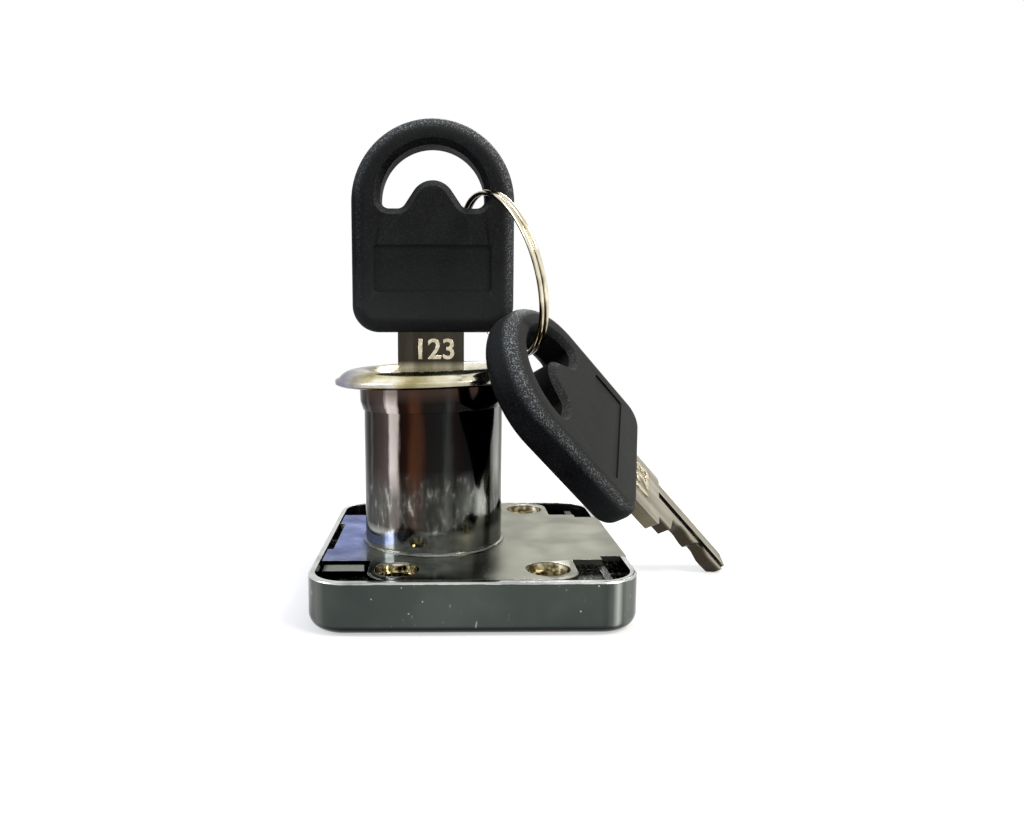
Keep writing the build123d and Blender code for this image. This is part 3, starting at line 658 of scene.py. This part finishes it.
print("grain drawn in mm", GRAIN)


# %% Black grained plastic
def plastic_tint(tree, key_place, grain, fade):
    """Nearly black, paler lower down and on grains, with painted light and highlights facing up.
    """
    place = key_coordinates(tree, key_place)
    tint = add(tree, "ValToRGB", [fade], stops=[(0.35, "#08080a"), (0.65, "#0f1011")])
    height = add(tree, "SeparateXYZ", [place], out="Z")
    # Paler towards the lower part of the bow.
    lower_paler = add(tree, "MapRange", [height, PALER_FULL, PALER_END, 0.7, 0.0])
    tint = add(tree, "Mix", [lower_paler, tint, linear("#242626")], data_type="RGBA")
    peaks = add(tree, "MapRange", [grain, 0.52, 0.68])
    faint_peaks = add(tree, "Math", [peaks, 0.35], operation="MULTIPLY")
    tint = add(tree, "Mix", [faint_peaks, tint, linear("#2c2e32")], data_type="RGBA")
    # Lighter where faces look up is painted light; sparkles on upper round edges are painted
    # highlights.
    looks_up = add(tree, "MapRange", [facing(tree, (0.25, -0.25, 0.93)), 0.0, 0.8])
    edge_highlight = upper_edge_highlight(tree, place, flatness(tree, key_place), looks_up)
    skylit = add(tree, "Math", [looks_up, 0.4], operation="MULTIPLY")
    tint = add(tree, "Mix", [skylit, tint, linear("#444645")], data_type="RGBA")
    tint = add(tree, "Mix", [edge_highlight, tint, linear("#34373a")], data_type="RGBA")
    sparkle = add(tree, "Math", [edge_highlight, peaks], operation="MULTIPLY")
    return add(tree, "Mix", [sparkle, tint, linear("#8d9192")], data_type="RGBA")


def grained_plastic(name, key_place):
    """Black plastic, darker on the broad faces, with painted highlights on the round edges."""
    material, tree = new_material(name)
    place = add(tree, "TexCoord", out="Object")
    grain = add(tree, "TexNoise", {"Vector": place, "Scale": per_metre(GRAIN), "Detail": 2.0})
    fade = add(tree, "TexNoise", {"Vector": place, "Scale": per_metre(FADE), "Detail": 3.0})
    surface = {
        "Base Color": plastic_tint(tree, key_place, grain, fade),
        "IOR": 1.49, "Specular IOR Level": 0.015,
        "Roughness": add(tree, "MapRange", [fade, 0.35, 0.65, 0.44, 0.56]),
        "Normal": add(tree, "Bump", {"Height": grain, "Strength": 0.6, "Distance": GRAIN_DEPTH}),
    }
    add(tree, "OutputMaterial", [add(tree, "BsdfPrincipled", surface)])
    return material


print("plastic fades over", FADE, "mm")

# %% Rubbed plastic edge with a painted highlight
# Every sharp line of the moulding, round the hole and the sunk panel, is worn paler and gets
# a painted highlight.
RUBBED = 1.5
rubbed_edge_highlight, tree = new_material("rubbed_plastic_edge")
place = add(tree, "TexCoord", out="Object")
rub = add(tree, "TexNoise", {"Vector": place, "Scale": per_metre(RUBBED), "Detail": 3.0})
tint = add(tree, "ValToRGB", [rub], stops=[(0.4, "#191a1c"), (0.6, "#4a4d4f")])
dullness = add(tree, "MapRange", [rub, 0.4, 0.6, 0.5, 0.3])
surface = {"Base Color": tint, "Roughness": dullness, "IOR": 1.49, "Specular IOR Level": 0.2}
add(tree, "OutputMaterial", [add(tree, "BsdfPrincipled", surface)])
dress(grained_plastic("black_plastic_standing", standing_place), "key_bow", edges=rubbed_edge_highlight)
dress(grained_plastic("black_plastic_spare", spare_place), "spare_key_bow", edges=rubbed_edge_highlight)

# %% [markdown]
# ## Pieces inside the lock
# Most show only when the lock is taken apart, and they still get the finish of the real
# ones. Stamped brass keeps the soft yellow sheen of rolled sheet. Drawn steel is bright and
# cool. Zinc plating is pale and slightly cloudy, and the plug's turned face, plated with
# nickel, is a dull warm grey. The four differ only in colours, grain and dullness, so one
# function makes them all.

# %% Brass, turned nickel, drawn steel and zinc plating
TEXTURE_DEPTH = 0.01 * MM


def plain_metal(name, low, high, grain_mm, dull_low, dull_high):
    """A metal with a slow change of tint and dullness over one grain size."""
    material, tree = new_material(name)
    place = add(tree, "TexCoord", out="Object")
    noise = add(tree, "TexNoise", {"Vector": place, "Scale": per_metre(grain_mm), "Detail": 4.0})
    surface = {
        "Base Color": add(tree, "ValToRGB", [noise], stops=[(0.3, low), (0.7, high)]),
        "Metallic": 1.0,
        "Roughness": add(tree, "MapRange", [noise, 0.3, 0.7, dull_low, dull_high]),
        "Normal": add(tree, "Bump", {"Height": noise, "Strength": 0.2, "Distance": TEXTURE_DEPTH}),
    }
    add(tree, "OutputMaterial", [add(tree, "BsdfPrincipled", surface)])
    return material


stamped_brass = plain_metal("stamped_brass", "#a5813c", "#cba95c", 0.8, 0.25, 0.4)
turned_nickel = plain_metal("turned_nickel", "#6f6d65", "#a3a198", 0.9, 0.15, 0.3)
drawn_steel = plain_metal("drawn_steel", "#8d8f91", "#b9bbbd", 0.4, 0.15, 0.3)
zinc_plating = plain_metal("zinc_plated_steel", "#8f9391", "#b8bab6", 1.5, 0.2, 0.38)
springs = sorted(name for name in frame["nodes"] if name.startswith("wafer_spring_"))
wafers = [name.replace("_spring", "") for name in springs]
dress(stamped_brass, *wafers)
dress(drawn_steel, "drive_pin", "retaining_clip")
dress(zinc_plating, "bolt", edges=worn_edge_highlight)
dress(turned_nickel, "plug")

# %% [markdown]
# ## Wafer springs: open coils of thin wire
# Each wafer has a spring of three turns beside it, in a pocket of the plug. The model's
# springs have few-sided wire, so round wire is wound here on the same line. A spring gets
# shorter as its wafer is pushed back; here each spring moves with the plug, and only the
# share of its length that it would keep is worked out.


# %% Round wire on a line of points
def round_wire(name, points, thickness, roundness):
    """A curve with a round section through some points."""
    wire = bpy.data.curves.new(name, "CURVE")
    wire.dimensions = "3D"
    wire.bevel_depth = thickness / 2
    wire.bevel_resolution = roundness
    wire.use_fill_caps = True
    spline = wire.splines.new("POLY")
    spline.points.add(len(points) - 1)
    for spot, point in zip(spline.points, points):
        spot.co = (*point, 1.0)
    return wire


def place_piece(name, data):
    """A new object in the scene."""
    piece = bpy.data.objects.new(name, data)
    bpy.context.scene.collection.objects.link(piece)
    return piece


print("springs to wind", len(springs))

# %% Wind and place the springs
SPRING_WIRE, SPRING_TURNS, POINTS_IN_COIL = 0.22 * MM, 3, 24


def coil_points(low, high):
    """The middle line of a coil that fills a box, along X."""
    middle = (low + high) / 2
    radius = (high.z - low.z - SPRING_WIRE) / 2
    length = high.x - low.x - SPRING_WIRE
    count = SPRING_TURNS * POINTS_IN_COIL
    points = []
    for index in range(count + 1):
        turned = math.tau * SPRING_TURNS * index / count
        along = low.x + SPRING_WIRE / 2 + length * index / count
        across, up = radius * math.sin(turned), -radius * math.cos(turned)
        points.append((along, middle.y + across, middle.z + up))
    return points


def wound_spring(node_name, joint):
    """A mesh of round wire for a CAD spring, on the plug. Gives back the share of length it keeps.
    """
    low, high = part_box(node_name)
    wire = round_wire(node_name + "_wire", coil_points(low, high), SPRING_WIRE, 3)
    curve = bpy.data.objects.new(node_name + "_curve", wire)
    mesh = bpy.data.meshes.new_from_object(curve)
    bpy.data.objects.remove(curve)
    mesh.polygons.foreach_set("use_smooth", [True] * len(mesh.polygons))
    mesh.materials.clear()
    mesh.materials.append(drawn_steel)
    piece = place_piece(node_name + "_wound", mesh)
    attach(piece, "plug")
    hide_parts(node_name)
    travel = abs(joint["range_m"][1] - joint["range_m"][0])
    keep = 1 - travel / (high.x - low.x)
    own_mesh(piece)
    return keep


for spring, wafer in zip(springs, wafers):
    kept = wound_spring(spring, joints[wafer + "_slide"])
    print(spring, "keeps", round(kept, 3), "of its length")

# %% [markdown]
# ## Split ring: two close turns of bright wire
# The real ring is one wire wound twice and sprung shut, so its turns touch. A curve with a
# round section is the plain way to make it: its points wind round the ring's own axis and
# step over once from one turn to the next. The ring's place comes from the swing joints.

# %% Place of the ring
RING_RADIUS, RING_WIRE = 11.04 * MM, 0.65 * MM
RING_HEADING, RING_TILT, RING_HANG_TURN = 21.4, 15.3, 15.7
ring_turn = (
    Matrix.Rotation(math.radians(RING_HEADING), 4, "Z")
    @ Matrix.Rotation(math.radians(90 - RING_TILT), 4, "Y")
)
hang_angle = math.radians(180 - RING_HANG_TURN)
reach = Vector((math.cos(hang_angle), math.sin(hang_angle), 0)) * RING_RADIUS
ring_centre = Vector(joints["ring_swing"]["pos_m"]) - ring_turn @ reach
ring_place = Matrix.Translation(ring_centre) @ ring_turn
print("ring centre in mm", [round(c / MM, 2) for c in ring_centre])

# %% Bright nickel of the wire, with a painted reflection
# A thin bright wire mirrors light above and dark below along its whole length, so a painted
# reflection in its colour follows which way its round surface looks.
WIRE_RIPPLE, WIRE_SWAY = 2.5, 0.12
bright_nickel, tree = new_material("bright_nickel_wire")
place = add(tree, "TexCoord", out="Object")
ripple = add(tree, "TexNoise", {"Vector": place, "Scale": per_metre(WIRE_RIPPLE), "Detail": 2.0})
sway = add(tree, "MapRange", [ripple, 0.3, 0.7, -WIRE_SWAY, WIRE_SWAY])
wire_reflection = add(tree, "MapRange", [facing(tree, (0.35, -0.62, 0.70)), -1.0, 1.0])
wire_reflection = add(tree, "Math", [wire_reflection, sway], operation="ADD")
tint = add(
    tree, "ValToRGB", [wire_reflection],
    stops=[
        (0.2, "#1f1b15"), (0.48, "#4f4738"), (0.62, "#b3a98e"), (0.8, "#f4eeda"),
        (0.95, "#cfc6ac"),
    ],
)
dullness = add(tree, "MapRange", [ripple, 0.3, 0.7, 0.08, 0.16])
surface = {"Base Color": tint, "Metallic": 1.0, "Roughness": dullness}
add(tree, "OutputMaterial", [add(tree, "BsdfPrincipled", surface)])
print("ring finish", bright_nickel.name)

# %% Wind the wire
# The two ends lie a crossing apart, so the wire makes two turns less that crossing.
POINTS_IN_TURN = 72
CROSSING, END_TURN = 50.0, 80.0
WOUND = 2 * 360 - CROSSING


def ring_level(turned):
    """Height of the wire's middle along the ring's axis, after so many degrees."""
    crossing_start = 360 - CROSSING
    step = min(max((turned - crossing_start) / CROSSING, 0), 1)
    return (step * step * (3 - 2 * step) - 0.5) * RING_WIRE


def ring_point(turned):
    """The wire's middle after so many degrees, in the lock's frame."""
    angle = math.radians(END_TURN + turned)
    across, up = RING_RADIUS * math.cos(angle), RING_RADIUS * math.sin(angle)
    return ring_place @ Vector((across, up, ring_level(turned)))


count = int(POINTS_IN_TURN * WOUND / 360)
ring_line = [ring_point(WOUND * index / count) for index in range(count + 1)]
ring_wire = round_wire("split_ring_wire", ring_line, RING_WIRE, 6)
ring_wire.materials.append(bright_nickel)
split_ring = place_piece("split_ring_wound", ring_wire)
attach(split_ring, "ring")
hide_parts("split_ring")
print("ring points", len(ring_line))

# %% [markdown]
# ## Numbers on the necks
# Each key carries a plain number, struck up from the neck. Text is the short way to make
# it: three raised figures with softened edges, turned to stand on the front of each key.

# %% Raised figures
# The figures stand up from the neck, so rubbing keeps their nickel bright. They fill less
# than the font's full size, so that size is their height times a share.
FIGURES, FIGURE_HEIGHT, FIGURE_RISE = "123", 2.8 * MM, 0.22 * MM
FONT_SHARE, FIGURE_ROUNDING, FIGURE_SPREAD = 1.38, 0.06 * MM, 0.03 * MM
NECK_FRONT, NECK_MIDDLE = -1.0 * MM, Vector((0.2, 0, 4.1)) * MM
struck_nickel = plain_metal("struck_nickel", "#b3a78a", "#f1e8cf", 0.6, 0.15, 0.3)


def strike_number(name, key_place, body):
    """Raised figures on the front of a key's neck."""
    words = bpy.data.curves.new(name, "FONT")
    words.body = FIGURES
    words.size = FIGURE_HEIGHT * FONT_SHARE
    words.align_x = "CENTER"
    words.align_y = "CENTER"
    words.extrude = FIGURE_RISE / 2
    words.bevel_depth = FIGURE_ROUNDING
    words.bevel_resolution = 2
    words.offset = FIGURE_SPREAD
    words.materials.append(struck_nickel)
    piece = place_piece(name, words)
    upright = Matrix.Rotation(math.radians(90), 4, "X")
    front = Matrix.Translation(NECK_MIDDLE + Vector((0, NECK_FRONT, 0)))
    piece.matrix_world = key_place @ front @ upright
    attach(piece, body)


strike_number("key_number", standing_place, "key")
strike_number("spare_key_number", spare_place, "spare_key")
print("figures", FIGURES, "rise in mm", FIGURE_RISE / MM)

# %% [markdown]
# ## Floor, backdrop and light
# The lock stands on a pale table in an even white room. The floor shows white to the
# camera and to mirrors, and keeps a soft shadow near the lock. The light is one large soft
# lamp from the upper right, two weaker ones from the left and the back, and an even sky.


# %% White to the camera and to mirrors
def seen_directly(tree):
    """1 for what the camera, a mirror or clear glass shows, 0 for soft light."""
    rays = add(tree, "LightPath").node.outputs
    seen = add(tree, "Math", [rays["Is Camera Ray"], rays["Is Glossy Ray"]], operation="MAXIMUM")
    return add(tree, "Math", [seen, rays["Is Transmission Ray"]], operation="MAXIMUM")


WHITE = linear("#ffffff")
print("white in linear light", WHITE)

# %% Floor
# Matte white paper. A little glow of its own keeps its shadows pale, as in the photograph.
FLOOR_REACH, FLOOR_DROP, SHADOW_REACH = 1.5, 0.02 * MM, 0.16
mesh = bpy.data.meshes.new("floor")
grid = bmesh.new()
bmesh.ops.create_grid(grid, x_segments=2, y_segments=2, size=FLOOR_REACH)
grid.to_mesh(mesh)
grid.free()
floor = place_piece("floor", mesh)
floor.location.z = -FLOOR_DROP

paper, tree = new_material("white_paper")
lit = add(tree, "BsdfDiffuse", [linear("#bababa")])
glow = add(tree, "Emission", [WHITE, 0.52])
shaded = add(tree, "AddShader", [lit, glow])
white = add(tree, "Emission", [WHITE, 1.0])
away = add(tree, "VectorMath", [add(tree, "TexCoord", out="Object")], operation="LENGTH")
far = add(tree, "MapRange", [away, SHADOW_REACH / 2, SHADOW_REACH])
shown = add(tree, "MixShader", [far, shaded, white])
plain = add(tree, "BsdfDiffuse", [linear("#e6e6e6")])
add(tree, "OutputMaterial", [add(tree, "MixShader", [seen_directly(tree), plain, shown])])
mesh.materials.append(paper)
print("floor is", 2 * FLOOR_REACH, "m wide")

# %% Even room
world = bpy.data.worlds.new("room")
bpy.context.scene.world = world
world.use_nodes = True
tree = world.node_tree
tree.nodes.clear()
backdrop = add(tree, "Background", [WHITE, 1.0])
sky = add(tree, "Background", [linear("#f4f6ff"), 0.55])
add(tree, "OutputWorld", [add(tree, "MixShader", [seen_directly(tree), sky, backdrop])])
print("room", world.name)


# %% Lamps
def soft_lamp(name, place_mm, aim_mm, size_mm, watts, colour):
    """A square soft lamp at a place, aimed at a point."""
    light = bpy.data.lights.new(name, "AREA")
    light.shape = "RECTANGLE"
    light.size, light.size_y = size_mm[0] * MM, size_mm[1] * MM
    light.energy = watts
    light.color = linear(colour)[:3]
    lamp = place_piece(name, light)
    lamp.location = Vector(place_mm) * MM
    towards = (Vector(aim_mm) - Vector(place_mm)).normalized()
    lamp.rotation_euler = towards.to_track_quat("-Z", "Y").to_euler()
    print(name, watts, "W")


soft_lamp("main_lamp", (210, -120, 260), (5, 0, 25), (140, 140), 1.1, "#fff6e8")
soft_lamp("left_lamp", (-240, -60, 150), (0, 0, 25), (90, 200), 0.45, "#eef2ff")
soft_lamp("back_lamp", (60, 220, 200), (0, 0, 30), (160, 100), 0.5, "#ffffff")

# %% [markdown]
# ## Camera
# The camera stands where the photograph was taken: about 110 mm in front of the lock and
# level with the lower edge of the standing bow, looking slightly down. The lens is a wide
# one, which is why the case looks deep. The small shift places the lock left of the middle.

# %% Camera
IMAGE_WIDTH, SENSOR_WIDTH = 1024, 36.0
FOCAL_PIXELS, MIDDLE_PIXEL = 782.4, 458.1
CAMERA_PLACE = Vector((1.77, -107.79, 37.16)) * MM
YAW, PITCH, ROLL = 0.870, 6.666, 0.066
view = bpy.data.cameras.new("camera")
view.sensor_width = SENSOR_WIDTH
view.lens = FOCAL_PIXELS / IMAGE_WIDTH * SENSOR_WIDTH
view.shift_x = (IMAGE_WIDTH / 2 - MIDDLE_PIXEL) / IMAGE_WIDTH
view.clip_start, view.clip_end = 0.005, 10.0
camera = place_piece("camera", view)
camera.location = CAMERA_PLACE
camera.rotation_euler = Euler(
    (math.radians(90 - PITCH), math.radians(-ROLL), math.radians(-YAW)), "XYZ"
)
bpy.context.scene.camera = camera
bpy.context.scene.view_settings.view_transform = "Standard"
print("lens in mm", round(view.lens, 2), "shift", round(view.shift_x, 4))
